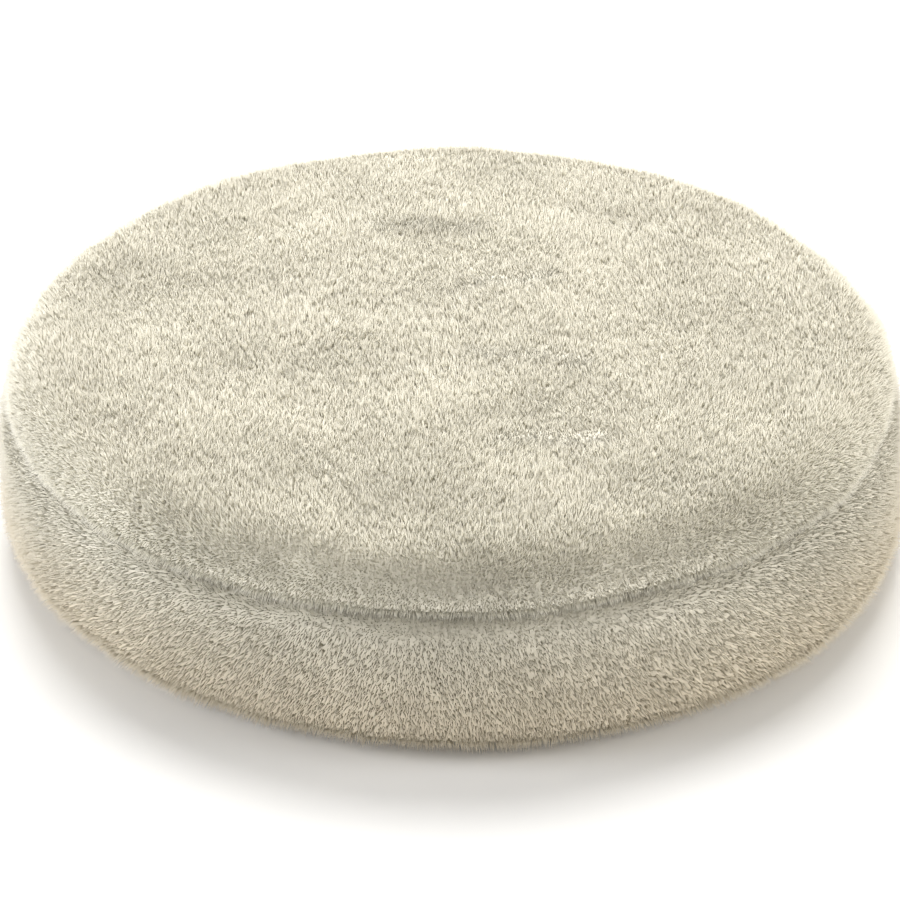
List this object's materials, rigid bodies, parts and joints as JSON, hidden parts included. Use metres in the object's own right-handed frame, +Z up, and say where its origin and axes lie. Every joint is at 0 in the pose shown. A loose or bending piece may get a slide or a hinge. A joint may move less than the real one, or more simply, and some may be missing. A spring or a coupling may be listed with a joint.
{
  "type": "polishing pad",
  "caption": "Round lambswool polishing pad: a fleece cover sewn over a soft foam core, with a loop fabric back that grips the hooks of a backing plate.",
  "frame": {"origin": "centre of the underside, on the plane that the loops and the foot of the side wool rest on", "axes": "+Z up out of the wool working face; +Y towards the seam where the side band's ends meet"},
  "size_m": [0.15, 0.15, 0.036],
  "materials": {
    "wool": "matte",
    "hide": "matte",
    "foam": "matte",
    "fibreboard": "matte",
    "loop": "matte",
    "tape": "matte",
    "adhesive": "satin",
    "thread": "satin"
  },
  "bodies": {
    "backing": {"loop_pile": "loop", "loop_ground_cloth": "loop", "loop_adhesive_film": "adhesive", "stiffener_disc": "fibreboard", "edge_binding": "tape", "binding_thread": "thread", "core_adhesive_film": "adhesive", "foam_core": "foam", "side_hide": "hide", "side_thread": "thread", "side_pile": "wool"},
    "working_face": {"face_adhesive_film": "adhesive", "face_hide": "hide", "shoulder_thread": "thread", "face_pile": "wool"}
  },
  "joints": [
    {"name": "face_press", "type": "slide", "parent": "backing", "child": "working_face", "axis": [0, 0, 1], "range_m": [-0.006, 0], "stiffness_N_per_m": 2500, "deforming": ["foam_core", "side_hide", "side_thread", "side_pile"]}
  ]
}
